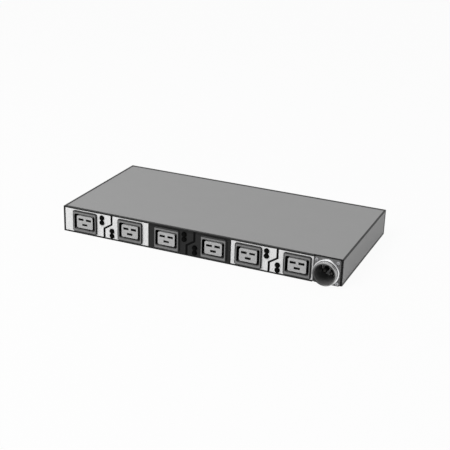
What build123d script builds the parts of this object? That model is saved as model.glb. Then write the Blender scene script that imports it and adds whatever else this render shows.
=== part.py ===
from build123d import *
import os
from math import cos, radians, sin

# Rack power distribution unit: a flat folded steel chassis, six snap-in C19 type outlets in three
# pairs, two press-to-reset circuit breakers for each outlet, and a round cable coupling as inlet.
# Millimetres. X runs along the front from left to right, Y from front to rear, Z upwards.
# The origin is the middle of the underside.

os.makedirs("parts", exist_ok=True)

# Chassis
chassis_width = 447.0
chassis_depth = 219.0
chassis_height = 41.0
sheet = 1.2
cover_gap = 0.1
cover_floor_gap = 0.3
flange_width = 9.0
side_flange_height = 10.0
side_flange_end = 12.0
rear_lip_height = 13.0
fold_radius = 0.5

# Front layout: three pairs of outlets, each with a gap for its breakers. The room that is left
# goes to the left end and between the pairs, in these shares.
outlet_height = 20.3
pair_gaps = [35.65, 33.8, 32.35]
room_shares = [0.33, 0.405, 0.265]
right_margin = 2.15
label_thickness = 0.4
label_margin = 0.6
label_joint = 0.3

# Inlet bay at the right end, set back from the labels
bay_width = 42.5
bay_setback = 4.0

# Outlet: moulded frame, socket core and three contacts
bezel_width = 42.0
bezel_height = 34.5
bezel_proud = 2.4
bezel_corner = 3.5
bezel_edge = 1.0
aperture_width = 35.6
aperture_height = 25.4
aperture_corner = 3.0
frame_wall = 1.6
frame_depth = 22.0
cutout_clearance = 0.25
latch_length = 9.0
latch_height = 8.0
latch_catch = 1.1
core_width = 27.6
core_height = 19.6
core_corner = 2.4
core_recess = 0.6
core_flange = 3.0
slot_length = 8.4
slot_height = 2.9
slot_pitch = 13.0
slot_offset = 8.0
slot_lip = 4.0
contact_chamber = 4.6
contact_thickness = 0.6
contact_opening = 1.8
contact_clearance = 0.2
tail_reach = 0.6

# Circuit breaker: a two-pole case with two captive reset buttons
breaker_left = 9.5
breaker_right = 7.7
breaker_height_upper = 29.2
breaker_height_lower = 10.9
pole_pitch = 7.8
nose_radius = 3.9
nose_neck = 3.6
nose_proud = 1.3
nose_clearance = 0.2
case_width = 13.0
case_height = 17.0
case_depth = 34.0
case_corner = 0.8
button_radius = 2.6
button_clearance = 0.1
button_proud = 0.7
button_travel = 2.6
button_dome = 0.6
collar_radius = 3.1
collar_length = 3.0
collar_stop = 2.0
chamber_end_gap = 0.3
tab_width = 5.6
tab_thickness = 0.8
tab_spread = 3.5
load_tab_length = [9.0, 6.0]
line_tab_length = [10.0, 16.0]

# Busbars behind the breakers
bar_thickness = 1.5
bar_width = 4.0
bar_arm = 5.0
earth_bar_height = 10.9
earth_bar_width = 3.4

# Inlet coupling
inlet_inset = 22.5
inlet_height = 19.7
flange_size = 39.0
flange_thickness = 2.0
flange_corner = 2.5
flange_screw_pitch = 31.2
barrel_front = 10.6
base_ring_radius = 19.2
base_ring_front = 4.6
groove_radius = 16.9
groove_end = 6.4
rim_radius = 17.6
rim_edge = 0.6
cavity_radius = 14.9
insert_wall = 1.1
insert_setback = 0.4
insert_floor = 23.0
insert_rear = 34.0
barrel_wall = 1.1
barrel_clearance = 0.2
barrel_length = 30.0
insert_clearance = 0.1
insert_collar = 2.0
key_width = 3.0
key_height = 1.0
sleeve_radius = 3.7
pin_bare = 1.5
pin_radius = 2.2
pin_circle = 7.6
pin_count = 4
pin_start_angle = 33.0
pin_tip = 10.3
pin_point = 0.6
pin_tail = 4.0
pin_tail_radius = 1.7
pin_clearance = 0.05
gasket_thickness = 0.8
screw_radius = 1.45
screw_head_radius = 2.7
screw_head_height = 1.5
screw_head_edge = 0.4
screw_end = 0.6
screw_hole_clearance = 0.15
screw_recess_radius = 0.9
screw_recess_depth = 0.8
nut_width = 5.5
nut_thickness = 2.0

# Wiring, cover screws and floor insulation
lead_radius = 1.3
lead_bend = 4.5
lead_straight = 4.0
lead_seat = 0.15
load_bend = 2.4
cover_screw_count = 4
cover_screw_inset = 25.5
insulation_thickness = 0.4
insulation_edge = 8.0
earth_foot_inset = 10.0
earth_foot_length = 12.0
earth_lead_gap = 0.4

# Printed divider between the two halves of a pair
divider_width = 2.4
divider_thickness = 0.1
divider_right = 7.0
divider_left = 5.4
divider_top_turn = 25.0
divider_bottom_turn = 17.0

# Worked-out places
front = -chassis_depth / 2
rear = chassis_depth / 2
half_width = chassis_width / 2
wall_front = front + label_thickness
wall_back = wall_front + sheet
bay_front = front + bay_setback
bay_back = bay_front + sheet
tray_half = half_width - sheet - cover_gap
tray_top = chassis_height - sheet - cover_gap
tray_rear = rear - sheet - cover_gap
bay_edge = half_width - bay_width
inlet_x = half_width - inlet_inset
earth_foot_x = bay_edge - earth_foot_inset
cover_screw_pitch = (chassis_width - 2 * cover_screw_inset) / (cover_screw_count - 1)
body_width = aperture_width + 2 * frame_wall
body_height = aperture_height + 2 * frame_wall
cutout_width = body_width + 2 * cutout_clearance
cutout_height = body_height + 2 * cutout_clearance
pairs_length = sum(gap + 2 * bezel_width for gap in pair_gaps)
spare_room = bay_edge + tray_half - right_margin - pairs_length
outlet_places = []
breaker_places = []
pair_middles = []
label_splits = []
pair_end = -tray_half
for gap, share in zip(pair_gaps, room_shares):
    pair_start = pair_end + share * spare_room
    middle = pair_start + bezel_width + gap / 2
    label_splits.append((pair_end + pair_start) / 2)
    pair_middles.append(middle)
    outlet_places += [middle - (gap + bezel_width) / 2, middle + (gap + bezel_width) / 2]
    breaker_places.append((middle - breaker_left, breaker_height_upper))
    breaker_places.append((middle + breaker_right, breaker_height_lower))
    pair_end = middle + gap / 2 + bezel_width
pole_steps = [pole_pitch / 2, -pole_pitch / 2]
case_back = wall_back + case_depth
slot_places = [(-slot_pitch / 2, slot_offset / 2), (slot_pitch / 2, slot_offset / 2), (0, -slot_offset / 2)]
bar_height = (breaker_height_upper + breaker_height_lower) / 2
core_back = front + frame_depth + core_flange
contact_back = case_back + tail_reach
screw_hole_radius = screw_radius + screw_hole_clearance
insert_radius = cavity_radius + insert_wall
barrel_bore = insert_radius + insert_clearance
barrel_radius = barrel_bore + barrel_wall
cover_screw_height = chassis_height - rear_lip_height / 2


def facing_front(y, x=0.0, z=0.0):
    """A sketch plane at depth y that looks at the viewer: its x runs right, its y runs up."""
    return Plane(origin=(x, y, z), x_dir=(1, 0, 0), z_dir=(0, -1, 0))


def save(piece, name):
    """Labels a finished piece and writes it."""
    piece.part.label = name
    export_step(piece.part, f"parts/{name}.step")


# Opening for the double nose of a breaker: two rounds joined by a neck
with BuildSketch() as nose_opening:
    with Locations(*[(0, step) for step in pole_steps]):
        Circle(nose_radius + nose_clearance)
    Rectangle(nose_neck + 2 * nose_clearance, pole_pitch)

# Chassis tray: floor, front wall with its set-back bay, rear wall and inward flanges from one sheet
floor_outline = [
    (-tray_half, wall_front),
    (bay_edge, wall_front),
    (bay_edge, bay_front),
    (tray_half, bay_front),
    (tray_half, tray_rear),
    (-tray_half, tray_rear),
]
wall_outline = floor_outline[:4] + [
    (tray_half, bay_back),
    (bay_edge - sheet, bay_back),
    (bay_edge - sheet, wall_back),
    (-tray_half, wall_back),
]
with BuildPart() as chassis_tray:
    with BuildSketch(Plane.XY):
        Polygon(*floor_outline, align=None)
    extrude(amount=sheet)
    with BuildSketch(Plane.XY):
        Polygon(*wall_outline, align=None)
    extrude(amount=tray_top)
    with BuildSketch(Plane.XY):
        with Locations((0, tray_rear - sheet / 2)):
            Rectangle(2 * tray_half, sheet)
    extrude(amount=tray_top)
    # Inward flanges under the cover
    with BuildSketch(Plane.XY.offset(tray_top - sheet)):
        with Locations(((bay_edge - tray_half) / 2, wall_front + flange_width / 2)):
            Rectangle(tray_half + bay_edge, flange_width)
        with Locations((0, tray_rear - flange_width / 2)):
            Rectangle(2 * tray_half, flange_width)
    extrude(amount=sheet)
    # Low flanges along both ends
    with BuildSketch(Plane.XY):
        with Locations((-tray_half + sheet / 2, 0), (tray_half - sheet / 2, 0)):
            Rectangle(sheet, chassis_depth - 2 * side_flange_end)
    extrude(amount=side_flange_height)
    # Outlet, breaker, inlet and screw cut-outs
    with BuildSketch(facing_front(wall_front)):
        with Locations(*[(x, outlet_height) for x in outlet_places]):
            Rectangle(cutout_width, cutout_height)
        with Locations(*breaker_places):
            add(nose_opening.sketch)
    extrude(amount=-sheet, mode=Mode.SUBTRACT)
    with BuildSketch(facing_front(bay_front, inlet_x, inlet_height)):
        Circle(barrel_radius + barrel_clearance)
        with GridLocations(flange_screw_pitch, flange_screw_pitch, 2, 2):
            Circle(screw_hole_radius)
    extrude(amount=-sheet, mode=Mode.SUBTRACT)
    with BuildSketch(facing_front(tray_rear, 0, cover_screw_height)):
        with GridLocations(cover_screw_pitch, 0, cover_screw_count, 1):
            Circle(screw_hole_radius)
    extrude(amount=sheet, mode=Mode.SUBTRACT)
save(chassis_tray, "chassis_tray")

# Top cover: roof, two full-height sides and a rear lip, folded from one sheet
with BuildPart() as top_cover:
    with BuildSketch(Plane.XY.offset(chassis_height - sheet)):
        with BuildLine():
            Polyline(
                (-half_width, front),
                (bay_edge, front),
                (bay_edge, bay_front),
                (half_width, bay_front),
                (half_width, rear),
                (-half_width, rear),
                close=True,
            )
        make_face()
    extrude(amount=sheet)
    with BuildSketch(Plane.XY.offset(cover_floor_gap)):
        with Locations((-half_width + sheet / 2, 0)):
            Rectangle(sheet, chassis_depth)
        with Locations((half_width - sheet / 2, bay_setback / 2)):
            Rectangle(sheet, chassis_depth - bay_setback)
    extrude(amount=chassis_height - cover_floor_gap)
    with BuildSketch(Plane.XY.offset(chassis_height - rear_lip_height)):
        with Locations((0, rear - sheet / 2)):
            Rectangle(chassis_width, sheet)
    extrude(amount=rear_lip_height)
    with BuildSketch(facing_front(rear, 0, cover_screw_height)):
        with GridLocations(cover_screw_pitch, 0, cover_screw_count, 1):
            Circle(screw_hole_radius)
    extrude(amount=sheet, mode=Mode.SUBTRACT)
    side_folds = top_cover.edges().filter_by(Axis.Y).group_by(Axis.Z)[-1].sort_by(Axis.X)
    rear_folds = top_cover.edges().filter_by(Axis.X).group_by(Axis.Z)[-1].sort_by(Axis.Y)
    fillet([side_folds[0], side_folds[-1], rear_folds[-1]], fold_radius)
save(top_cover, "top_cover")

# Front labels: a white, a black and a white film, with openings for what comes through them
label_spans = {
    "label_left": (-tray_half, label_splits[1] - label_joint / 2),
    "label_middle": (label_splits[1] + label_joint / 2, label_splits[2] - label_joint / 2),
    "label_right": (label_splits[2] + label_joint / 2, bay_edge),
}
for label_name, (low, high) in label_spans.items():
    with BuildPart() as front_label:
        with BuildSketch(facing_front(wall_front)):
            with Locations(((low + high) / 2, (label_margin + chassis_height - sheet) / 2)):
                Rectangle(high - low, chassis_height - sheet - label_margin)
            with Locations(*[(x, outlet_height) for x in outlet_places if low < x < high]):
                Rectangle(cutout_width, cutout_height, mode=Mode.SUBTRACT)
            with Locations(*[place for place in breaker_places if low < place[0] < high]):
                add(nose_opening.sketch, mode=Mode.SUBTRACT)
        extrude(amount=label_thickness)
    save(front_label, label_name)

# Printed dividers: a line that steps from one breaker pair to the other
with BuildPart() as divider_print:
    for middle in pair_middles:
        upper = middle + divider_right
        lower = middle - divider_left
        half = divider_width / 2
        top = chassis_height - sheet
        with BuildSketch(facing_front(front)):
            Polygon(
                (upper - half, top),
                (upper - half, divider_top_turn + half / 2),
                (lower - half, divider_bottom_turn + half / 2),
                (lower - half, label_margin),
                (lower + half, label_margin),
                (lower + half, divider_bottom_turn - half / 2),
                (upper + half, divider_top_turn - half / 2),
                (upper + half, top),
                align=None,
            )
        extrude(amount=divider_thickness)
save(divider_print, "divider_print")

# Outlets
for number, place in enumerate(outlet_places, start=1):
    # Frame: bezel in front of the wall, four-sided hood behind it and a snap latch at each side
    with BuildPart() as outlet_frame:
        with BuildSketch(facing_front(front, place, outlet_height)):
            RectangleRounded(bezel_width, bezel_height, bezel_corner)
        extrude(amount=bezel_proud)
        chamfer(outlet_frame.faces().sort_by(Axis.Y)[0].edges(), bezel_edge)
        with BuildSketch(facing_front(front, place, outlet_height)):
            Rectangle(body_width, body_height)
        extrude(amount=-frame_depth)
        with BuildSketch(facing_front(front - bezel_proud, place, outlet_height)):
            RectangleRounded(aperture_width, aperture_height, aperture_corner)
        extrude(amount=-(bezel_proud + frame_depth), mode=Mode.SUBTRACT)
        for side in (-1, 1):
            with BuildSketch(Plane.XY.offset(outlet_height - latch_height / 2)):
                flank = place + side * body_width / 2
                Polygon(
                    (flank, wall_back + cover_gap),
                    (flank + side * latch_catch, wall_back + cover_gap),
                    (flank, wall_back + latch_length),
                    align=None,
                )
            extrude(amount=latch_height)
    save(outlet_frame, f"outlet_frame_{number}")

    # Core: the block that the plug slides over, with a flange that closes the frame from behind
    with BuildPart() as outlet_core:
        with BuildSketch(facing_front(front + frame_depth, place, outlet_height)):
            RectangleRounded(core_width, core_height, core_corner)
        extrude(amount=frame_depth + bezel_proud - core_recess)
        with BuildSketch(facing_front(front + frame_depth, place, outlet_height)):
            Rectangle(body_width, body_height)
        extrude(amount=-core_flange)
        with BuildSketch(facing_front(front - bezel_proud, place, outlet_height)):
            with Locations(*slot_places):
                Rectangle(slot_length, slot_height)
        extrude(amount=-(core_recess + slot_lip), mode=Mode.SUBTRACT)
        with BuildSketch(facing_front(core_back, place, outlet_height)):
            with Locations(*slot_places):
                Rectangle(slot_length, contact_chamber)
        extrude(amount=core_back - front + bezel_proud - core_recess - slot_lip, mode=Mode.SUBTRACT)
    save(outlet_core, f"outlet_core_{number}")

    # Contacts: a folded fork in each chamber, with its tail out at the rear
    with BuildPart() as outlet_contacts:
        fork_front = front - bezel_proud + core_recess + slot_lip + contact_clearance
        fork_half = contact_opening / 2 + contact_thickness
        fork_width = slot_length - 2 * contact_clearance
        for across, up in slot_places:
            with BuildSketch(Plane.YZ.offset(place + across - fork_width / 2)):
                middle = outlet_height + up
                with BuildLine():
                    Polyline(
                        (fork_front, middle + fork_half),
                        (core_back, middle + fork_half),
                        (core_back, middle + contact_thickness / 2),
                        (contact_back, middle + contact_thickness / 2),
                        (contact_back, middle - contact_thickness / 2),
                        (core_back, middle - contact_thickness / 2),
                        (core_back, middle - fork_half),
                        (fork_front, middle - fork_half),
                        (fork_front, middle - contact_opening / 2),
                        (core_back - contact_thickness, middle - contact_opening / 2),
                        (core_back - contact_thickness, middle + contact_opening / 2),
                        (fork_front, middle + contact_opening / 2),
                        close=True,
                    )
                make_face()
            extrude(amount=fork_width)
    save(outlet_contacts, f"outlet_contacts_{number}")

# Circuit breakers
bore_radius = button_radius + button_clearance
nose_front = front - nose_proud
collar_front = nose_front + nose_proud + label_thickness + sheet + collar_stop + button_travel
for number, (place, height) in enumerate(breaker_places, start=1):
    # Case: flat box behind the wall, with a double nose through it and a stepped bore in each pole
    with BuildPart() as breaker_case:
        with BuildSketch(facing_front(wall_back, place, height)):
            RectangleRounded(case_width, case_height, case_corner)
        extrude(amount=-case_depth)
        with BuildSketch(facing_front(wall_back, place, height)):
            with Locations(*[(0, step) for step in pole_steps]):
                Circle(nose_radius)
            Rectangle(nose_neck, pole_pitch)
        extrude(amount=wall_back - nose_front)
        with BuildSketch(facing_front(nose_front, place, height)):
            with Locations(*[(0, step) for step in pole_steps]):
                Circle(bore_radius)
        extrude(amount=nose_front - collar_front + button_travel, mode=Mode.SUBTRACT)
        with BuildSketch(facing_front(collar_front - button_travel, place, height)):
            with Locations(*[(0, step) for step in pole_steps]):
                Circle(collar_radius + button_clearance)
        extrude(amount=-(button_travel + collar_length + chamber_end_gap), mode=Mode.SUBTRACT)
    save(breaker_case, f"breaker_case_{number}")

    # Reset buttons: domed stem with a collar that keeps it in its case
    for letter, step in zip("ab", pole_steps):
        with BuildPart() as reset_button:
            with BuildSketch(facing_front(collar_front, place, height + step)):
                Circle(collar_radius)
            extrude(amount=-collar_length)
            with BuildSketch(facing_front(collar_front, place, height + step)):
                Circle(button_radius)
            extrude(amount=collar_front - nose_front + button_proud)
            chamfer(reset_button.faces().sort_by(Axis.Y)[0].edges(), button_dome)
        save(reset_button, f"reset_button_{number}{letter}")

# Breaker tabs: line and load tab for every pole
with BuildPart() as breaker_tabs:
    for place, height in breaker_places:
        for pole, (step, side) in enumerate(zip(pole_steps, (-1, 1))):
            with BuildSketch(facing_front(case_back, place, height + step)):
                with Locations((side * tab_spread, 0)):
                    Rectangle(tab_width, tab_thickness)
            extrude(amount=-line_tab_length[pole])
            with BuildSketch(facing_front(case_back, place, height + step)):
                with Locations((-side * tab_spread, 0)):
                    Rectangle(tab_width, tab_thickness)
            extrude(amount=-load_tab_length[pole])
save(breaker_tabs, "breaker_tabs")

# Line busbars: a strip behind the breakers with an arm to one pole of each
bar_low = breaker_places[0][0] - case_width
for pole, (step, side) in enumerate(zip(pole_steps, (-1, 1))):
    bar_end = inlet_x - rim_radius
    with BuildPart() as line_bar:
        with BuildSketch(facing_front(case_back + line_tab_length[pole])):
            with Locations(((bar_low + bar_end) / 2, bar_height)):
                Rectangle(bar_end - bar_low, bar_width)
            for place, height in breaker_places:
                reach = height + step
                with Locations((place + side * tab_spread, (bar_height + reach) / 2)):
                    Rectangle(bar_arm, abs(reach - bar_height) + bar_width)
        extrude(amount=-bar_thickness)
    save(line_bar, f"line_busbar_{pole + 1}")

# Earth busbar: a strip between the lower breaker tabs with an arm to every outlet and a foot
earth_contact_height = outlet_height - slot_offset / 2
with BuildPart() as earth_busbar:
    with BuildSketch(facing_front(contact_back)):
        with Locations(((outlet_places[0] + earth_foot_x) / 2, earth_bar_height)):
            Rectangle(earth_foot_x - outlet_places[0] + bar_arm, earth_bar_width)
        for place in outlet_places:
            with Locations((place, (earth_bar_height + earth_contact_height) / 2)):
                Rectangle(bar_arm, earth_contact_height - earth_bar_height + bar_width)
        with Locations((earth_foot_x, (sheet + earth_bar_height) / 2)):
            Rectangle(bar_arm, earth_bar_height - sheet)
    extrude(amount=-bar_thickness)
    with BuildSketch(Plane.XY.offset(sheet)):
        with Locations((earth_foot_x, contact_back + (bar_thickness + earth_foot_length) / 2)):
            Rectangle(bar_arm, bar_thickness + earth_foot_length)
        with Locations((earth_foot_x, contact_back + bar_thickness + earth_foot_length / 2)):
            Circle(screw_hole_radius, mode=Mode.SUBTRACT)
    extrude(amount=bar_thickness)
save(earth_busbar, "earth_busbar")

# Inlet shell: turned barrel with base ring, groove and rim, on a square flange
inlet_axis = Axis((inlet_x, 0, inlet_height), (0, 1, 0))
inlet_plane = Plane.XY.offset(inlet_height).shift_origin((inlet_x, 0, inlet_height))
flange_back = bay_front - gasket_thickness
flange_front = flange_back - flange_thickness
rim_front = front - barrel_front
with BuildPart() as inlet_shell:
    with BuildSketch(inlet_plane):
        with BuildLine():
            Polyline(
                (barrel_bore, rim_front),
                (rim_radius - rim_edge, rim_front),
                (rim_radius, rim_front + rim_edge),
                (rim_radius, front - groove_end),
                (groove_radius, front - groove_end),
                (groove_radius, front - base_ring_front),
                (base_ring_radius - rim_edge, front - base_ring_front),
                (base_ring_radius, front - base_ring_front + rim_edge),
                (base_ring_radius, flange_back),
                (barrel_radius, flange_back),
                (barrel_radius, front + barrel_length),
                (barrel_bore, front + barrel_length),
                close=True,
            )
        make_face()
    revolve(axis=inlet_axis)
    with BuildSketch(facing_front(flange_back, inlet_x, inlet_height)):
        RectangleRounded(flange_size, flange_size, flange_corner)
        Circle(barrel_radius, mode=Mode.SUBTRACT)
        with GridLocations(flange_screw_pitch, flange_screw_pitch, 2, 2):
            Circle(screw_hole_radius, mode=Mode.SUBTRACT)
    extrude(amount=flange_thickness)
save(inlet_shell, "inlet_shell")

# Gasket between flange and bay wall
with BuildPart() as inlet_gasket:
    with BuildSketch(facing_front(bay_front, inlet_x, inlet_height)):
        RectangleRounded(flange_size, flange_size, flange_corner)
        Circle(barrel_radius + barrel_clearance, mode=Mode.SUBTRACT)
        with GridLocations(flange_screw_pitch, flange_screw_pitch, 2, 2):
            Circle(screw_hole_radius, mode=Mode.SUBTRACT)
    extrude(amount=gasket_thickness)
save(inlet_gasket, "inlet_gasket")

# Insert: moulded cup that lines the barrel, with a key along its wall and a sleeve round every pin
insert_front = rim_front + insert_setback
sleeve_height = insert_floor - pin_tip - pin_bare
with BuildPart() as inlet_insert:
    with BuildSketch(facing_front(front + insert_rear, inlet_x, inlet_height)):
        Circle(insert_radius)
    extrude(amount=insert_rear - (insert_front - front))
    with BuildSketch(facing_front(front + barrel_length + insert_collar, inlet_x, inlet_height)):
        Circle(barrel_radius)
    extrude(amount=insert_collar)
    with BuildSketch(facing_front(insert_front, inlet_x, inlet_height)):
        Circle(cavity_radius)
        with Locations((0, cavity_radius)):
            Rectangle(key_width, 2 * key_height, mode=Mode.SUBTRACT)
    extrude(amount=insert_front - front - insert_floor, mode=Mode.SUBTRACT)
    with BuildSketch(facing_front(front + insert_floor, inlet_x, inlet_height)):
        with PolarLocations(pin_circle, pin_count, start_angle=pin_start_angle):
            Circle(sleeve_radius)
    extrude(amount=sleeve_height)
    with BuildSketch(facing_front(front + insert_rear, inlet_x, inlet_height)):
        with PolarLocations(pin_circle, pin_count, start_angle=pin_start_angle):
            Circle(pin_radius + pin_clearance)
    extrude(amount=insert_rear - insert_floor + sleeve_height, mode=Mode.SUBTRACT)
save(inlet_insert, "inlet_insert")

# Pins: pointed contact in front, thinner tail behind
with BuildPart() as inlet_pins:
    with BuildSketch(facing_front(front + insert_rear, inlet_x, inlet_height)):
        with PolarLocations(pin_circle, pin_count, start_angle=pin_start_angle):
            Circle(pin_radius)
    extrude(amount=insert_rear - pin_tip)
    chamfer(inlet_pins.faces().group_by(Axis.Y)[0].edges(), pin_point)
    with BuildSketch(facing_front(front + insert_rear + pin_tail, inlet_x, inlet_height)):
        with PolarLocations(pin_circle, pin_count, start_angle=pin_start_angle):
            Circle(pin_tail_radius)
    extrude(amount=pin_tail)
save(inlet_pins, "inlet_pins")

# Screws and nuts of the inlet flange
inlet_clamped = flange_thickness + gasket_thickness + sheet
with BuildPart() as inlet_screws:
    with BuildSketch(facing_front(flange_front, inlet_x, inlet_height)):
        with GridLocations(flange_screw_pitch, flange_screw_pitch, 2, 2):
            Circle(screw_head_radius)
    extrude(amount=screw_head_height)
    chamfer(inlet_screws.faces().group_by(Axis.Y)[0].edges(), screw_head_edge)
    with BuildSketch(facing_front(flange_front, inlet_x, inlet_height)):
        with GridLocations(flange_screw_pitch, flange_screw_pitch, 2, 2):
            Circle(screw_radius)
    extrude(amount=-(inlet_clamped + nut_thickness + screw_end))
    with BuildSketch(facing_front(flange_front - screw_head_height, inlet_x, inlet_height)):
        with GridLocations(flange_screw_pitch, flange_screw_pitch, 2, 2):
            RegularPolygon(screw_recess_radius, 6)
    extrude(amount=-screw_recess_depth, mode=Mode.SUBTRACT)
save(inlet_screws, "inlet_screws")

with BuildPart() as inlet_nuts:
    with BuildSketch(facing_front(bay_back, inlet_x, inlet_height)):
        with GridLocations(flange_screw_pitch, flange_screw_pitch, 2, 2):
            RegularPolygon(nut_width / 2, 6, major_radius=False)
            Circle(screw_radius + pin_clearance, mode=Mode.SUBTRACT)
    extrude(amount=-nut_thickness)
save(inlet_nuts, "inlet_nuts")

# Screws and clinch nuts of the cover's rear lip
cover_clamped = 2 * sheet + cover_gap
with BuildPart() as cover_screws:
    with BuildSketch(facing_front(rear + screw_head_height, 0, cover_screw_height)):
        with GridLocations(cover_screw_pitch, 0, cover_screw_count, 1):
            Circle(screw_head_radius)
    extrude(amount=screw_head_height)
    chamfer(cover_screws.faces().group_by(Axis.Y)[-1].edges(), screw_head_edge)
    with BuildSketch(facing_front(rear, 0, cover_screw_height)):
        with GridLocations(cover_screw_pitch, 0, cover_screw_count, 1):
            Circle(screw_radius)
    extrude(amount=cover_clamped + nut_thickness + screw_end)
    with BuildSketch(facing_front(rear + screw_head_height, 0, cover_screw_height)):
        with GridLocations(cover_screw_pitch, 0, cover_screw_count, 1):
            RegularPolygon(screw_recess_radius, 6)
    extrude(amount=screw_recess_depth, mode=Mode.SUBTRACT)
save(cover_screws, "cover_screws")

with BuildPart() as cover_nuts:
    with BuildSketch(facing_front(rear - cover_clamped, 0, cover_screw_height)):
        with GridLocations(cover_screw_pitch, 0, cover_screw_count, 1):
            RegularPolygon(nut_width / 2, 6, major_radius=False)
            Circle(screw_radius + pin_clearance, mode=Mode.SUBTRACT)
    extrude(amount=nut_thickness)
save(cover_nuts, "cover_nuts")

# Stud and nut that hold the foot of the earth busbar on the floor
earth_stud_y = contact_back + bar_thickness + earth_foot_length / 2
with BuildPart() as earth_stud:
    with BuildSketch(Plane.XY.offset(sheet)):
        with Locations((earth_foot_x, earth_stud_y)):
            Circle(screw_radius)
    extrude(amount=bar_thickness + nut_thickness + screw_end)
save(earth_stud, "earth_stud")

with BuildPart() as earth_nut:
    with BuildSketch(Plane.XY.offset(sheet + bar_thickness)):
        with Locations((earth_foot_x, earth_stud_y)):
            RegularPolygon(nut_width / 2, 6, major_radius=False)
            Circle(screw_radius + pin_clearance, mode=Mode.SUBTRACT)
    extrude(amount=nut_thickness)
save(earth_nut, "earth_nut")

# Insulating sheet on the floor, cut away round the earth foot
insulation_back = case_back + line_tab_length[1] + bar_thickness + insulation_edge
with BuildPart() as insulating_sheet:
    with BuildSketch(Plane.XY.offset(sheet)):
        with Locations(((bar_low + bar_end) / 2, (wall_back + insulation_edge + insulation_back) / 2)):
            Rectangle(bar_end - bar_low, insulation_back - wall_back - insulation_edge)
        with Locations((earth_foot_x, contact_back + earth_foot_length / 2)):
            Rectangle(bar_arm + insulation_edge, earth_foot_length + insulation_edge, mode=Mode.SUBTRACT)
    extrude(amount=insulation_thickness)
save(insulating_sheet, "insulating_sheet")


def pin_at(index, y):
    """The point at depth y on the axis of one inlet pin."""
    angle = radians(pin_start_angle + index * 360 / pin_count)
    return (inlet_x + pin_circle * cos(angle), y, inlet_height + pin_circle * sin(angle))


# Input leads: two lines to the busbars and the earth lead to the earth busbar
tail_end = front + insert_rear + pin_tail
input_routes = []
for pole, index in enumerate((1, 2)):
    bar_middle = case_back + line_tab_length[pole] + bar_thickness / 2
    bar_start = (bar_end, bar_middle, bar_height)
    approach = (bar_end + lead_straight, bar_middle, bar_height)
    input_routes.append([pin_at(index, tail_end), pin_at(index, bar_middle), approach, bar_start])
earth_turn = case_back + line_tab_length[0] - lead_radius - earth_lead_gap
input_routes.append(
    [
        pin_at(3, tail_end),
        pin_at(3, earth_turn),
        (earth_foot_x, earth_turn, earth_bar_height),
        (earth_foot_x, contact_back + bar_thickness, earth_bar_height),
    ]
)
with BuildPart() as input_leads:
    for points in input_routes:
        with BuildLine() as route:
            FilletPolyline(*points, radius=lead_bend)
        with BuildSketch(Plane(origin=route.line @ 0, z_dir=route.line % 0)):
            Circle(lead_radius)
        sweep(path=route.line)
save(input_leads, "input_leads")

# Load leads: from every outlet contact to its load tab, under the tab or over it
load_routes = []
for outlet, (place, height) in zip(outlet_places, breaker_places):
    below = 1 if outlet < place else -1
    for pole, (step, side) in enumerate(zip(pole_steps, (-1, 1))):
        contact_x = outlet + side * slot_pitch / 2
        contact_z = outlet_height + slot_offset / 2
        tab_z = height + step - below * (tab_thickness / 2 + lead_radius + lead_seat)
        lead_turn = case_back + load_tab_length[pole] - lead_radius
        load_routes.append(
            [
                (contact_x, contact_back, contact_z),
                (contact_x, lead_turn, contact_z),
                (place - side * tab_spread, lead_turn, tab_z),
            ]
        )
with BuildPart() as load_leads:
    for points in load_routes:
        with BuildLine() as route:
            FilletPolyline(*points, radius=load_bend)
        with BuildSketch(Plane(origin=route.line @ 0, z_dir=route.line % 0)):
            Circle(lead_radius)
        sweep(path=route.line)
save(load_leads, "load_leads")
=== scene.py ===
import math

import bpy
from bpy.props import FloatProperty, FloatVectorProperty, IntProperty, PointerProperty
from bpy.types import Operator, Panel, PropertyGroup
from mathutils import Matrix, Vector


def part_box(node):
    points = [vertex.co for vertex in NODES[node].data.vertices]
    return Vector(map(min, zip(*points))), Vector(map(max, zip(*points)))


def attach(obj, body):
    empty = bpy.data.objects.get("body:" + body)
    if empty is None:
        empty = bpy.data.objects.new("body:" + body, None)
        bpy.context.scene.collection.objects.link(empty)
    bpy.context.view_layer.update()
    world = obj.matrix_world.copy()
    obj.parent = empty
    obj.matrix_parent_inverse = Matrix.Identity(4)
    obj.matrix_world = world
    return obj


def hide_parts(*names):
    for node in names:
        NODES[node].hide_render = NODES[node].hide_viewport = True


bl_info = {
    "name": "Rack power unit looks",
    "version": (1, 0, 0),
    "blender": (4, 5, 0),
    "location": "View3D > Sidebar > Rack power",
    "description": "Finishes, fine forms, light and camera for a one-unit rack power distribution unit",
    "category": "Object",
}

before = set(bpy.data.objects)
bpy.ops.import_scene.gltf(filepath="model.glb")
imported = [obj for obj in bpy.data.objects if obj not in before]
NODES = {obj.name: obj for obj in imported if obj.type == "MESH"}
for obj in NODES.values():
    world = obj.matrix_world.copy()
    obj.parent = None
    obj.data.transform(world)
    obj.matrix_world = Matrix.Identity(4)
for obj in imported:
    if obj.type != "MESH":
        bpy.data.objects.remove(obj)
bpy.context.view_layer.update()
MM = 0.001
OUTLETS = range(1, 7)
POLES = "ab"

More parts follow.
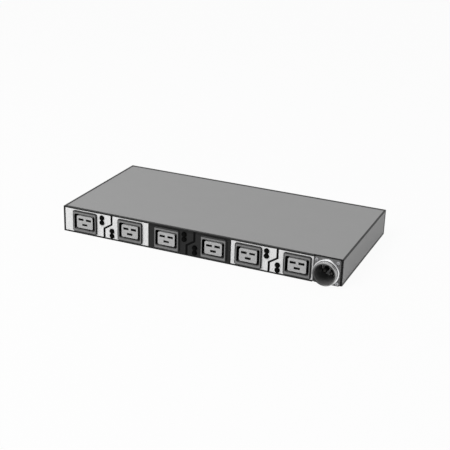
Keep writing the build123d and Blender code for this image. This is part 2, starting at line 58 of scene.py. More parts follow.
# Sizes of the fine forms, as the solids have them
SCREW_HEAD_RADIUS = 2.7 * MM
SCREW_HEAD_HEIGHT = 1.5 * MM
SCREW_SHANK_RADIUS = 1.45 * MM
STROKE_LOWER_TURN = 17.0 * MM
STROKE_UPPER_TURN = 25.0 * MM
STROKE_GAP = 40.0 * MM
THROAT_HALF_WIDTH = 17.9 * MM
THROAT_HALF_HEIGHT = 12.8 * MM
THROAT_DEPTH = 1.0 * MM
SLOTS_HALF_WIDTH = 12.0 * MM
SLOTS_HALF_HEIGHT = 7.0 * MM
BUTTON_RADIUS = 2.6 * MM
COLLAR_RADIUS = 3.1 * MM
COLLAR_LENGTH = 3.0 * MM
BARREL_FRONT = 10.6 * MM
BARREL_BORE = 16.1 * MM
BARREL_RADIUS = 17.2 * MM
BASE_RING_FRONT = 4.6 * MM
BASE_RING_RADIUS = 19.2 * MM
GROOVE_END = 6.4 * MM
GROOVE_RADIUS = 16.9 * MM
RIM_RADIUS = 17.6 * MM
INSERT_FLOOR = 23.0 * MM
INSERT_WALL_START = 12.5 * MM
FLANGE_FRONT = 1.2 * MM
FLANGE_THICKNESS = 2.0 * MM
FLANGE_CORNER = 2.5 * MM
FLANGE_SCREW_PITCH = 31.2 * MM

# Sizes that only the finished pieces have
STROKE_STRAIGHT = 5.0 * MM  # A stroke is upright this far from its turns
STOP_GAP = 0.05 * MM  # Room between a button's collar and its stop
RIM_EDGE = 0.6 * MM
BORE_EDGE = 0.2 * MM
FLANGE_EDGE = 0.3 * MM
LINING_EDGE = 0.25 * MM
HOLE_PLAY = 0.15 * MM
THREAD_START = 0.4 * MM
THREAD_PITCH = 0.5 * MM
THREAD_DEPTH = 0.18 * MM
RECESS_LENGTH = 1.05 * SCREW_HEAD_RADIUS
RECESS_WIDTH = 0.24 * SCREW_HEAD_RADIUS
RECESS_DEPTH = 0.5 * SCREW_HEAD_HEIGHT
# Shares of a screw head's radius and height, from the middle of its face to its seat
SCREW_HEAD_PROFILE = ((0.55, 1.0), (0.82, 0.86), (0.97, 0.5), (1.0, 0.12), (0.98, 0.0))
SCREW_TIP = 0.8
# Shares of a button's radius and of its dome's height
DOME_PROFILE = ((0.35, 0.0), (0.62, 0.16), (0.82, 0.42), (0.95, 0.78), (1.0, 1.3))
SCREW_SIDES = 28
BUTTON_SIDES = 40
HOLE_SIDES = 24

# Modelling tolerances
MERGE_DISTANCE = 0.002 * MM
CLOSE_DISTANCE = 0.001 * MM
SAME_PLACE = 0.001 * MM
MERGE_ANGLE = math.radians(0.5)
SMOOTH_ANGLE = math.radians(30)
NODE_SHARP_ANGLE = math.radians(35)
FLANGE_SHARP_ANGLE = math.radians(50)

# Parts of a face's normal that tell which way it looks; -1 along Y is straight to the front
FACES_FRONT = -0.7
FLAT_TO_FRONT = -0.95
SLANT_START = -0.93
SLANT_END = -0.8
FACES_UP_OR_DOWN = 0.7
LIT_DIRECTION = (0.7, 0, 0.7)  # From the lower left of a round fitting to its upper right

# Where the painted shade is darkest and where it ends, measured from the fitting's axis towards its lit upper right
FLANGE_SHADE = (-0.8 * RIM_RADIUS, -0.3 * RIM_RADIUS)
BARREL_SHADE = (-RIM_RADIUS, 0.3 * RIM_RADIUS)
FACE_BAND = 0.3 * MM  # How near to the insert's floor a point counts as on it
WAVE_RADIANS = 20  # Radians that the wave texture has in one unit, at a scale of 1
LINE_CORE = 0.75  # Share of a dark line's width that has its full tone
# How far the primer lines and the painted shade take over from the colour below
PRIMER_SHARE = 0.95
SHADE_SHARE = 0.95

# Slots of the painted-shade wall materials on an outlet's moulding, after its own plastic in slot 0
THROAT_SHADE_SLOT, SHELF_SHADE_SLOT, LEDGE_SHADE_SLOT = 1, 2, 3

# Colours of small and hidden pieces
TIN = "#74736F"
PIN_SILVER = "#62615E"
GASKET_BLACK = "#151515"
ZINC = "#A6A6A8"
COPPER = "#B87850"
TAB_TIN = "#BDB08A"
SLEEVE_BLACK = "#141414"
BOARD = "#CFCDC2"

# The stage, in metres
FLOOR_RADIUS = 3.0
FLOOR_RISE = 0.05
FLOOR_SPREAD = 1.3
LAMP_SIZE = 1.4
KEY_PLACE = (-0.9, -1.25, 1.9)
FILL_PLACE = (-0.4, -1.8, 0.5)


def linear(hex_colour):
    """Turns an sRGB hex value into the linear colour that shaders use."""
    parts = [int(hex_colour[i:i + 2], 16) / 255 for i in (1, 3, 5)]
    return [p / 12.92 if p <= 0.04045 else ((p + 0.055) / 1.055) ** 2.4 for p in parts]


def colour_property(name, description, default):
    """A colour setting with an sRGB hex value as its default."""
    return FloatVectorProperty(
        name=name, description=description, subtype="COLOR", size=3, min=0, max=1, default=linear(default)
    )


def length_property(name, description, millimetres):
    """A length setting whose default is given in millimetres."""
    return FloatProperty(
        name=name, description=description, subtype="DISTANCE", unit="LENGTH", min=0, precision=5,
        default=millimetres * MM,
    )


class ChassisSettings(PropertyGroup):
    """Folded steel case."""

    paint: colour_property("Paint", "Powder coat of tray and cover", "#A0A0A0")
    # Also laid on the front-facing bay wall round the inlet as painted shade of the recess
    primer: colour_property("Primer", "Dark primer on cut edges, and through the thin coat along folds", "#111111")
    edge_line: length_property("Edge line", "Width of the darker line along folds and corners", 2.5)
    end_line: length_property("End line", "Width of that line along the front and rear edges", 4.5)
    outer_line: length_property("Outer line", "Further width of that line along the left, rear and lower edges", 2.0)
    roughness: FloatProperty(name="Roughness", description="Satin of the powder coat", default=0.55, min=0, max=1)
    pebble: length_property("Pebble", "Spacing of the powder coat's pebbles", 1.3)
    mottle: length_property("Mottle", "Spacing of slow shifts in the coat's tone", 38.0)
    fold: length_property("Fold edge", "Rounding of cut and folded sheet edges", 0.25)


class LabelSettings(PropertyGroup):
    """Printed films on the front wall."""

    white: colour_property("White", "White areas of the label", "#F0F0F0")
    black: colour_property("Black", "Black area of the label", "#1B1B1B")
    ink: colour_property("Ink", "Border and stepped line", "#080808")
    border: length_property("Border", "Width of the printed border", 2.1)
    top_border: length_property("Top border", "Width of the border along the top", 0.9)
    end_border: length_property("End border", "Width of the border at the left end of the front", 1.9)
    stroke_spread: length_property("Stroke spread", "How far the stepped line's ink spreads to each side", 0.5)
    grain: length_property("Grain", "Spacing of the film's matt grain", 0.9)


class OutletSettings(PropertyGroup):
    """Socket outlets."""

    frame_colour: colour_property("Frame", "Moulded frame", "#828282")
    # Painted shade on the frame's slanted edge and sides
    side_shade: colour_property("Frame side", "Slanted edge and sides of the frame", "#444444")
    core_colour: colour_property("Core", "Moulded socket core", "#B9B9B9")
    outline_colour: colour_property("Outline", "Rim of the frame's front, worn smooth and dark", "#222222")
    outline: length_property("Outline width", "Width of that rim, with the slanted edge", 2.1)
    # Painted shade in the plug channel: dark deep in and in the slots, set tones on the walls above and below the
    # core
    throat_shade: colour_property("Throat", "Walls of the plug channel and of the slots", "#0C0C0C")
    shelf_shade: colour_property("Throat shelf", "Channel wall above the core", "#C4C4C4")
    ledge_shade: colour_property("Throat ledge", "Channel wall below the core", "#7C7C7C")
    edge: length_property("Edge", "Rounding of moulded edges", 0.35)
    grain: length_property("Grain", "Spacing of the mould's spark texture", 0.8)


class BreakerSettings(PropertyGroup):
    """Circuit breakers and their reset buttons."""

    case_colour: colour_property("Case", "Moulded case and nose", "#060606")
    button_colour: colour_property("Button", "Reset button", "#030303")
    edge: length_property("Edge", "Rounding of the nose", 0.2)
    dome: length_property("Dome", "Height of a button's dome", 0.5)


class InletSettings(PropertyGroup):
    """Supply coupling."""

    metal: colour_property("Metal", "Nickel on the turned barrel", "#F2F2F3")
    # Painted shade: the rim in front of the groove gets a duller metal
    shaded_rim_metal: colour_property("Rim metal", "Tarnished rim in front of the groove", "#A4A4A4")
    # Painted shade in the groove and over the lower left of the barrel, flange and inlet screws
    groove_and_lower_left_shade: colour_property("Groove metal", "Dark oxide left in the groove, and grime", "#1E1E1E")
    flange_colour: colour_property("Flange", "Coated casting of the flange", "#6A6A6A")
    insert_colour: colour_property("Insert", "Moulded lining", "#626262")
    # Painted shade on the sleeves round the pins, and painted light on the face that carries them
    sleeve_shade: colour_property("Sleeve", "Sleeves round the pins", "#121212")
    face_light: colour_property("Insert face", "Face that carries the pins", "#D4D4D4")
    sides: IntProperty(name="Sides", description="Segments round the barrel", default=96, min=24, max=192)
    turning: length_property("Turning", "Length of one radian in the wave of the lathe marks", 0.7)


class StageSettings(PropertyGroup):
    """Camera, lamps and floor."""

    azimuth: FloatProperty(
        name="Azimuth", description="Camera's turn round the part", subtype="ANGLE", default=math.radians(23.134)
    )
    elevation: FloatProperty(
        name="Elevation", description="Camera's height angle", subtype="ANGLE", default=math.radians(22.065)
    )
    roll: FloatProperty(name="Roll", description="Camera's tilt", subtype="ANGLE", default=math.radians(1.810))
    place: FloatVectorProperty(
        name="Camera place", description="Where the camera stands", subtype="TRANSLATION", size=3,
        default=(0.5702, -1.3368, 0.6011),
    )
    lens: FloatProperty(name="Lens", description="Focal length in millimetres", default=80.80, min=1)
    sky: FloatProperty(name="Sky", description="Light from all round", default=0.41, min=0)
    key_power: FloatProperty(name="Key", description="Key lamp in watts", default=29.5, min=0)
    fill_power: FloatProperty(name="Fill", description="Fill lamp in watts", default=2.2, min=0)
    floor_glow: FloatProperty(
        name="Floor glow", description="How far the floor shows as plain white", default=0.94, min=0, max=1
    )
    floor_colour: colour_property("Floor", "Floor under the part", "#EDEDED")


# Materials


def add_node(tree, kind, inputs=None, **settings):
    """Adds a node, sets its options, and sets or links its inputs."""
    node = tree.nodes.new(kind)
    for option, value in settings.items():
        setattr(node, option, value)
    for socket, value in (inputs or {}).items():
        if isinstance(value, bpy.types.NodeSocket):
            tree.links.new(value, node.inputs[socket])
        else:
            node.inputs[socket].default_value = value
    return node


def start_material(name, specular=0.5):
    """A material with its shader and the object's own coordinates."""
    material = bpy.data.materials.new(name)
    material.use_nodes = True
    tree = material.node_tree
    tree.nodes.clear()
    shader = add_node(tree, "ShaderNodeBsdfPrincipled", {"Specular IOR Level": specular})
    add_node(tree, "ShaderNodeOutputMaterial", {"Surface": shader.outputs["BSDF"]})
    place = add_node(tree, "ShaderNodeTexCoord").outputs["Object"]
    return material, tree, shader, place


def rgba(colour, tone=1.0):
    """A colour setting, lightened or darkened, with full alpha."""
    return [min(c * tone, 1.0) for c in colour[:3]] + [1.0]


def tone_pattern(tree, place, spacing, colour, spread):
    """A colour that drifts a little about the setting, at the given spacing."""
    noise = add_node(
        tree, "ShaderNodeTexNoise", {"Vector": place, "Scale": 1 / spacing, "Detail": 3.0, "Roughness": 0.55}
    )
    return add_node(
        tree, "ShaderNodeMix",
        {"Factor": noise.outputs["Fac"], "A": rgba(colour, 1 - spread), "B": rgba(colour, 1 + spread)},
        data_type="RGBA",
    ).outputs["Result"]


def grain_bump(tree, shader, place, spacing, depth, strength=0.5):
    """Small relief at the given spacing, linked to the shader's normal."""
    noise = add_node(
        tree, "ShaderNodeTexNoise", {"Vector": place, "Scale": 1 / spacing, "Detail": 2.0, "Roughness": 0.6}
    )
    bump = add_node(tree, "ShaderNodeBump", {"Height": noise.outputs["Fac"], "Distance": depth, "Strength": strength})
    tree.links.new(bump.outputs["Normal"], shader.inputs["Normal"])
    return noise.outputs["Fac"]


def roughness_pattern(tree, shader, source, low, high):
    """Roughness that follows a pattern between two values."""
    spread = add_node(tree, "ShaderNodeMapRange", {"Value": source, "To Min": low, "To Max": high})
    tree.links.new(spread.outputs["Result"], shader.inputs["Roughness"])


def edge_mask(tree, place, low, high, widths):
    """1 along the edges of a box and 0 on its faces, with a soft change between."""
    split = add_node(tree, "ShaderNodeSeparateXYZ", {"Vector": place})
    middle = (low + high) / 2
    # Every axis adds 1 near the box's ends, so only an edge, where two meet, gets above 0
    total = -1.0
    for axis, label in enumerate("XYZ"):
        half = (high[axis] - low[axis]) / 2
        offset = add_node(
            tree, "ShaderNodeMath", {0: split.outputs[label], 1: middle[axis]}, operation="SUBTRACT"
        ).outputs[0]
        distance = add_node(tree, "ShaderNodeMath", {0: offset}, operation="ABSOLUTE").outputs[0]
        near = add_node(
            tree, "ShaderNodeMapRange",
            {"Value": distance, "From Min": half - widths[axis], "From Max": half - LINE_CORE * widths[axis]},
        ).outputs["Result"]
        total = add_node(
            tree, "ShaderNodeMath", {0: total, 1: near}, operation="ADD", use_clamp=label == "Z"
        ).outputs[0]
    return total


def span_mask(tree, axis_value, low, high):
    """1 where a coordinate lies between two values, and 0 elsewhere."""
    above = add_node(tree, "ShaderNodeMath", {0: axis_value, 1: low}, operation="GREATER_THAN").outputs[0]
    below = add_node(tree, "ShaderNodeMath", {0: axis_value, 1: high}, operation="LESS_THAN").outputs[0]
    return add_node(tree, "ShaderNodeMath", {0: above, 1: below}, operation="MULTIPLY").outputs[0]


def painted_shade_mask(tree, about_axis, darkest, shade_end):
    """Painted shade: high at the lower left of a round fitting and 0 on its lit upper right."""
    lean = add_node(
        tree, "ShaderNodeVectorMath", {0: about_axis, 1: LIT_DIRECTION}, operation="DOT_PRODUCT"
    ).outputs["Value"]
    return add_node(
        tree, "ShaderNodeMapRange",
        {"Value": lean, "From Min": darkest, "From Max": shade_end, "To Min": SHADE_SHARE, "To Max": 0.0},
    ).outputs["Result"]


def rearward(tree):
    """How far a face looks to the rear: -1 is straight to the front."""
    facing = add_node(tree, "ShaderNodeTexCoord").outputs["Normal"]
    return add_node(tree, "ShaderNodeSeparateXYZ", {"Vector": facing}).outputs["Y"]


def seen_directly(tree):
    """1 for what the camera sees, itself or in a reflection or through glass, and 0 for light on other things."""
    rays = add_node(tree, "ShaderNodeLightPath")
    seen = rays.outputs["Is Camera Ray"]
    for kind in ("Is Glossy Ray", "Is Transmission Ray"):
        seen = add_node(
            tree, "ShaderNodeMath", {0: seen, 1: rays.outputs[kind]}, operation="ADD", use_clamp=True
        ).outputs[0]
    return seen


def lay_over(material, mask, colour):
    """Lays a colour over a finished material's own, as far as a mask says."""
    tree = material.node_tree
    shader = next(node for node in tree.nodes if node.type == "BSDF_PRINCIPLED")
    tone = shader.inputs["Base Color"].links[0].from_socket
    mixed = add_node(tree, "ShaderNodeMix", {"Factor": mask, "A": tone, "B": rgba(colour)}, data_type="RGBA")
    tree.links.new(mixed.outputs["Result"], shader.inputs["Base Color"])


def powder_coat(settings):
    """Powder-coated steel: a baked polyester that gives a satin, faintly pebbled grey."""
    material, tree, shader, place = start_material("satin_powder_coat", specular=0.25)
    tone = tone_pattern(tree, place, settings.mottle, settings.paint, spread=0.02)
    tree.links.new(tone, shader.inputs["Base Color"])
    # The coat draws back from folds and corners, where the dark primer outlines the case
    # The line is wider along the front and rear edges, where the eye meets it at a low angle
    low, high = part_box("top_cover")
    low = low + Vector((settings.outer_line, 0, settings.outer_line))
    high = high - Vector((0, settings.outer_line, 0))
    thin = edge_mask(tree, place, low, high, (settings.edge_line, settings.end_line, settings.edge_line))
    thin = add_node(tree, "ShaderNodeMath", {0: thin, 1: PRIMER_SHARE}, operation="MULTIPLY").outputs[0]
    lay_over(material, thin, settings.primer)
    # The cut edges that face the front have primer only; the bay wall round the inlet, which faces the front too,
    # gets the same dark as painted shade of its recess
    front_primer_and_bay_shade = add_node(tree, "ShaderNodeMath", {0: rearward(tree), 1: FACES_FRONT}, operation="LESS_THAN").outputs[0]
    lay_over(material, front_primer_and_bay_shade, settings.primer)
    # Real pebbles are about 0.4 mm apart, too fine for the picture, so they are drawn coarser
    pebbles = grain_bump(tree, shader, place, settings.pebble, depth=0.06 * MM)
    roughness_pattern(tree, shader, pebbles, settings.roughness - 0.06, settings.roughness + 0.06)
    return material


def label_film(name, colour, node, settings, left_border, right_border, top_border):
    """Printed polycarbonate film: a matt, very finely grained face with a dark printed border."""
    material, tree, shader, place = start_material(name, specular=0.25)
    low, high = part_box(node)
    split = add_node(tree, "ShaderNodeSeparateXYZ", {"Vector": place})
    across = span_mask(tree, split.outputs["X"], low.x + left_border, high.x - right_border)
    upright = span_mask(tree, split.outputs["Z"], low.z + settings.border, high.z - top_border)
    inside = add_node(tree, "ShaderNodeMath", {0: across, 1: upright}, operation="MULTIPLY").outputs[0]
    tone = tone_pattern(tree, place, 9 * MM, colour, spread=0.015)
    mixed = add_node(tree, "ShaderNodeMix", {"Factor": inside, "A": rgba(settings.ink), "B": tone}, data_type="RGBA")
    tree.links.new(mixed.outputs["Result"], shader.inputs["Base Color"])
    # The film's own grain is about 0.05 mm, drawn coarser so that it shows
    grain = grain_bump(tree, shader, place, settings.grain, depth=0.02 * MM, strength=0.3)
    roughness_pattern(tree, shader, grain, low=0.5, high=0.6)
    return material


def printing_ink(settings):
    """Screen-printed ink: a dense, slightly uneven black with a soft sheen."""
    material, tree, shader, place = start_material("screen_printed_ink", specular=0.05)
    tone = tone_pattern(tree, place, 1.5 * MM, settings.ink, spread=0.12)
    tree.links.new(tone, shader.inputs["Base Color"])
    relief = grain_bump(tree, shader, place, 0.6 * MM, depth=0.01 * MM)
    roughness_pattern(tree, shader, relief, low=0.4, high=0.5)
    return material


def moulded_plastic(name, colour, grain, roughness, specular=0.4):
    """Injection-moulded plastic: an even colour with the fine spark texture of the mould."""
    material, tree, shader, place = start_material(name, specular)
    tree.links.new(tone_pattern(tree, place, 11 * MM, colour, spread=0.03), shader.inputs["Base Color"])
    # Spark texture is about 0.2 mm, drawn coarser so that it shows
    relief = grain_bump(tree, shader, place, grain, depth=0.035 * MM, strength=0.4)
    roughness_pattern(tree, shader, relief, roughness - 0.05, roughness + 0.05)
    return material


def shaded_sides(material, colour):
    """Painted shade: a darker second tone on every face of a moulding that doesn't look to the front."""
    tree = material.node_tree
    slanted = add_node(
        tree, "ShaderNodeMapRange", {"Value": rearward(tree), "From Min": SLANT_START, "From Max": SLANT_END}
    ).outputs["Result"]
    lay_over(material, slanted, colour)


def outline_box(material, low, high, widths, colour):
    """A dark line along the edges of a box-shaped moulding."""
    tree = material.node_tree
    place = add_node(tree, "ShaderNodeTexCoord").outputs["Object"]
    lay_over(material, edge_mask(tree, place, low, high, widths), colour)


def painted_shadow_corner(material, centre, painted_shadow):
    """Painted shadow of the barrel in the lower left corner of the coupling's flange, darkening what is there."""
    tree = material.node_tree
    place = add_node(tree, "ShaderNodeTexCoord").outputs["Object"]
    about_axis = add_node(
        tree, "ShaderNodeMapping", {"Vector": place, "Location": (-centre.x, 0, -centre.z)}
    ).outputs["Vector"]
    lay_over(material, painted_shade_mask(tree, about_axis, *FLANGE_SHADE), painted_shadow)


def plain_metal(name, colour, roughness, stretch=(1, 1, 1)):
    """Rolled or plated metal: a bright face with faint drawn streaks."""
    material, tree, shader, place = start_material(name)
    drawn = add_node(tree, "ShaderNodeMapping", {"Vector": place, "Scale": stretch}).outputs["Vector"]
    tree.links.new(tone_pattern(tree, drawn, 4 * MM, colour, spread=0.05), shader.inputs["Base Color"])
    relief = grain_bump(tree, shader, drawn, 0.5 * MM, depth=0.01 * MM, strength=0.4)
    roughness_pattern(tree, shader, relief, roughness - 0.06, roughness + 0.06)
    shader.inputs["Metallic"].default_value = 1.0
    return material


def turned_metal(settings, centre, rim_end, ring_start):
    """Nickel-plated turned brass: a bright, smooth metal with faint lathe rings, with painted shade on its rim, in
    its groove and at its lower left.
    """
    material, tree, shader, place = start_material("nickel_plated_turning")
    along = add_node(tree, "ShaderNodeSeparateXYZ", {"Vector": place}).outputs["Y"]
    bright = tone_pattern(tree, place, 6 * MM, settings.metal, spread=0.04)
    # Painted shade: a duller metal on the rim and near black in the groove
    tone = rgba(settings.shaded_rim_metal)
    for start, behind in ((rim_end, rgba(settings.groove_and_lower_left_shade)), (ring_start, bright)):
        past = add_node(tree, "ShaderNodeMath", {0: along, 1: start}, operation="GREATER_THAN").outputs[0]
        tone = add_node(
            tree, "ShaderNodeMix", {"Factor": past, "A": tone, "B": behind}, data_type="RGBA"
        ).outputs["Result"]
    tree.links.new(tone, shader.inputs["Base Color"])
    about_axis = add_node(
        tree, "ShaderNodeMapping", {"Vector": place, "Location": (-centre.x, 0, -centre.z)}
    ).outputs["Vector"]
    # Painted shade over the lower left of the barrel
    lay_over(material, painted_shade_mask(tree, about_axis, *BARREL_SHADE), settings.groove_and_lower_left_shade)
    # Lathe marks are about 0.1 mm apart, drawn coarser so that they show
    rings = add_node(
        tree, "ShaderNodeTexWave",
        {"Vector": about_axis, "Scale": 1 / settings.turning / WAVE_RADIANS, "Distortion": 0.4, "Detail": 1.0},
        wave_type="BANDS", bands_direction="Y",
    )
    bump = add_node(
        tree, "ShaderNodeBump", {"Height": rings.outputs["Fac"], "Distance": 0.01 * MM, "Strength": 0.3}
    )
    tree.links.new(bump.outputs["Normal"], shader.inputs["Normal"])
    roughness_pattern(tree, shader, rings.outputs["Fac"], low=0.2, high=0.32)
    shader.inputs["Metallic"].default_value = 1.0
    return material


def insert_plastic(settings, centre, depth):
    """Thermoset lining: grey and matt along its wall, with painted light on the pale face that carries the pins and
    painted shade on the black sleeves.
    """
    material, tree, shader, place = start_material("thermoset_insert", specular=0.2)
    split = add_node(tree, "ShaderNodeSeparateXYZ", {"Vector": place})
    face = span_mask(tree, split.outputs["Y"], depth - FACE_BAND, depth + FACE_BAND)
    flat = add_node(tree, "ShaderNodeVectorMath", {0: place, 1: (1, 0, 1)}, operation="MULTIPLY").outputs[0]
    reach = add_node(
        tree, "ShaderNodeVectorMath", {0: flat, 1: (centre.x, 0, centre.z)}, operation="DISTANCE"
    ).outputs["Value"]
    sleeves = add_node(tree, "ShaderNodeMath", {0: reach, 1: INSERT_WALL_START}, operation="LESS_THAN").outputs[0]
    tone = tone_pattern(tree, place, 5 * MM, settings.insert_colour, spread=0.06)
    tree.links.new(tone, shader.inputs["Base Color"])
    # Painted shade on the sleeves and painted light on the face deep in the cavity
    lay_over(material, sleeves, settings.sleeve_shade)
    lay_over(material, face, settings.face_light)
    relief = grain_bump(tree, shader, place, 0.7 * MM, depth=0.03 * MM, strength=0.4)
    roughness_pattern(tree, shader, relief, low=0.5, high=0.62)
    return material


def floor_material(settings):
    """Pale floor that the camera sees nearly white and that keeps the part's shadow."""
    material, tree, shader, place = start_material("pale_floor")
    tone = tone_pattern(tree, place, 0.5, settings.floor_colour, spread=0.01)
    tree.links.new(tone, shader.inputs["Base Color"])
    shader.inputs["Roughness"].default_value = 0.9
    glow = add_node(tree, "ShaderNodeEmission", {"Color": (1, 1, 1, 1), "Strength": 1.0})
    share = add_node(
        tree, "ShaderNodeMath", {0: seen_directly(tree), 1: settings.floor_glow}, operation="MULTIPLY"
    ).outputs[0]
    mixed = add_node(
        tree, "ShaderNodeMixShader", {0: share, 1: shader.outputs["BSDF"], 2: glow.outputs["Emission"]}
    )
    output = next(node for node in tree.nodes if node.type == "OUTPUT_MATERIAL")
    tree.links.new(mixed.outputs["Shader"], output.inputs["Surface"])
    return material


# Modelling


def select_only(piece):
    """Makes one object the only selected and active one."""
    bpy.ops.object.select_all(action="DESELECT")
    piece.select_set(True)
    bpy.context.view_layer.objects.active = piece


def paint(piece, material, slot=None):
    """Gives an object one material; its slot argument is not used."""
    piece.data.materials.clear()
    piece.data.materials.append(material)


def dress(nodes, material):
    """Gives CAD nodes that stay as they are a better material."""
    for name in nodes:
        paint(NODES[name], material)


def finish_piece(piece, body, replaced):
    """Smooths a finished piece, puts its place in its mesh, and seats it on its body."""
    select_only(piece)
    bpy.ops.object.transform_apply(location=True, rotation=True, scale=True)
    bpy.ops.object.shade_smooth_by_angle(angle=SMOOTH_ANGLE)
    # Large faces keep their own normals, so that a flat sheet is lit as flat right up to its rounded edge
    flat = piece.modifiers.new("flat_faces", "WEIGHTED_NORMAL")
    flat.weight = 100
    flat.keep_sharp = True
    bpy.ops.object.modifier_apply(modifier=flat.name)
    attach(piece, body)
    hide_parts(*replaced)


def merged_copy(node, piece_name):
    """A copy of a CAD node with its loose triangles merged into whole faces."""
    piece = bpy.data.objects.new(piece_name, NODES[node].data.copy())
    bpy.context.scene.collection.objects.link(piece)
    select_only(piece)
    bpy.ops.object.mode_set(mode="EDIT")
    bpy.ops.mesh.select_all(action="SELECT")
    bpy.ops.mesh.remove_doubles(threshold=MERGE_DISTANCE)
    bpy.ops.mesh.dissolve_limited(angle_limit=MERGE_ANGLE)
    bpy.ops.object.mode_set(mode="OBJECT")
    return piece


def soften(piece, width, sharp_angle):
    """Rounds the edges of a piece that are sharper than an angle."""
    select_only(piece)
    bevel = piece.modifiers.new("edge", "BEVEL")
    bevel.width = width
    bevel.segments = 2
    bevel.limit_method = "ANGLE"
    bevel.angle_limit = sharp_angle
    bpy.ops.object.modifier_apply(modifier=bevel.name)


def with_soft_edges(node, piece_name, edge):
    """A copy of a CAD node with its sharp corners rounded as a tool leaves them."""
    piece = merged_copy(node, piece_name)
    soften(piece, edge, NODE_SHARP_ANGLE)
    return piece


def cut_away(piece, cutter):
    """Takes a cutter's shape out of a piece, and the cutter out of the scene."""
    select_only(piece)
    cut = piece.modifiers.new("cut", "BOOLEAN")
    cut.object = cutter
    cut.operation = "DIFFERENCE"
    cut.solver = "EXACT"
    bpy.ops.object.modifier_apply(modifier=cut.name)
    bpy.data.objects.remove(cutter)


def turned(name, centre, profile, sides, closed=False):
    """A turned piece on an axis along Y: a ring is extruded from radius to radius and depth to depth."""
    radius, depth = profile[0]
    bpy.ops.object.select_all(action="DESELECT")
    bpy.ops.mesh.primitive_circle_add(
        vertices=sides, radius=radius, location=(centre.x, depth, centre.z), rotation=(math.radians(90), 0, 0),
        fill_type="NGON" if closed else "NOTHING",
    )
    piece = bpy.context.object
    piece.name = name
    bpy.ops.object.transform_apply(location=True, rotation=True, scale=True)
    bpy.ops.object.mode_set(mode="EDIT")
    bpy.ops.mesh.select_all(action="SELECT")
    if closed:
        bpy.ops.mesh.select_mode(type="EDGE")
    for next_radius, next_depth in profile[1:]:
        bpy.ops.mesh.extrude_edges_move(TRANSFORM_OT_translate={"value": (0, next_depth - depth, 0)})
        factor = next_radius / radius
        bpy.ops.transform.resize(value=(factor, 1, factor), center_override=(centre.x, next_depth, centre.z))
        radius, depth = next_radius, next_depth
    if closed:
        bpy.ops.mesh.edge_face_add()
    bpy.ops.mesh.select_mode(type="VERT")
    bpy.ops.mesh.select_all(action="SELECT")
    bpy.ops.mesh.remove_doubles(threshold=CLOSE_DISTANCE)
    bpy.ops.mesh.normals_make_consistent(inside=False)
    bpy.ops.object.mode_set(mode="OBJECT")
    return piece


def rounded_rim(radius, front):
    """The rounded front corner of a ring, as points of its profile."""
    return [
        (radius - RIM_EDGE, front),
        (radius - 0.3 * RIM_EDGE, front + 0.3 * RIM_EDGE),
        (radius, front + RIM_EDGE),
    ]


def copy_of(piece, name, shift):
    """A finished form once more, with its own mesh, moved by a vector."""
    again = bpy.data.objects.new(name, piece.data.copy())
    again.data.transform(Matrix.Translation(shift))
    bpy.context.scene.collection.objects.link(again)
    return again


def join_pieces(pieces):
    """Joins like pieces into the first of them."""
    bpy.ops.object.select_all(action="DESELECT")
    for piece in pieces:
        piece.select_set(True)
    bpy.context.view_layer.objects.active = pieces[0]
    bpy.ops.object.join()
    return pieces[0]


def cross_recess(piece, centre):
    """Cuts a cross for a driver into a screw head that faces along Y."""
    for turn in (0, math.radians(90)):
        bpy.ops.object.select_all(action="DESELECT")
        bpy.ops.mesh.primitive_cube_add(
            size=1, location=centre, rotation=(0, turn, 0), scale=(RECESS_LENGTH, 2 * RECESS_DEPTH, RECESS_WIDTH)
        )
        cutter = bpy.context.object
        bpy.ops.object.transform_apply(location=True, rotation=True, scale=True)
        cut_away(piece, cutter)


def screw_set(name, places, inward, shank_length):
    """Pan-head screws with a cross recess and a threaded shank, one for every place."""
    seat = places[0]
    profile = [(radius * SCREW_HEAD_RADIUS, -height * SCREW_HEAD_HEIGHT) for radius, height in SCREW_HEAD_PROFILE]
    profile.append((SCREW_SHANK_RADIUS, 0.0))
    depth = THREAD_START
    while depth + THREAD_PITCH < shank_length:
        profile.append((SCREW_SHANK_RADIUS, depth))
        profile.append((SCREW_SHANK_RADIUS - THREAD_DEPTH, depth + THREAD_PITCH / 2))
        depth += THREAD_PITCH
    profile.append((SCREW_SHANK_RADIUS * SCREW_TIP, shank_length))
    profile = [(radius, seat.y + inward * y) for radius, y in profile]
    first = turned(name, seat, profile, SCREW_SIDES, closed=True)
    cross_recess(first, Vector((seat.x, seat.y - inward * SCREW_HEAD_HEIGHT, seat.z)))
    return join_pieces([first] + [copy_of(first, name, place - seat) for place in places[1:]])


def replace_screws(node, name, count_x, count_z, inward, material):
    """Finer screws for a regular set in a CAD node, whose box says where their heads sit."""
    low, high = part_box(node)
    seat_y = low.y + SCREW_HEAD_HEIGHT if inward > 0 else high.y - SCREW_HEAD_HEIGHT
    first = low + Vector((SCREW_HEAD_RADIUS, 0, SCREW_HEAD_RADIUS))
    last = high - Vector((SCREW_HEAD_RADIUS, 0, SCREW_HEAD_RADIUS))
    step_x = (last.x - first.x) / max(count_x - 1, 1)
    step_z = (last.z - first.z) / max(count_z - 1, 1)
    places = [
        Vector((first.x + i * step_x, seat_y, first.z + j * step_z))
        for j in range(count_z) for i in range(count_x)
    ]
    screws = screw_set(name, places, inward, high.y - low.y - SCREW_HEAD_HEIGHT)
    paint(screws, material, "fastener_steel")
    finish_piece(screws, "chassis", [node])


# Operators


class PDU_OT_chassis(Operator):
    """Finish the folded tray and its cover"""

    bl_idname = "pdu.chassis"
    bl_label = "Chassis"

    def execute(self, context):
        settings = context.scene.pdu_chassis
        coat = powder_coat(settings)
        for node in ("chassis_tray", "top_cover"):
            sheet = with_soft_edges(node, f"{node}_sheet", settings.fold)
            paint(sheet, coat, "chassis_paint")
            finish_piece(sheet, "chassis", [node])
        return {"FINISHED"}


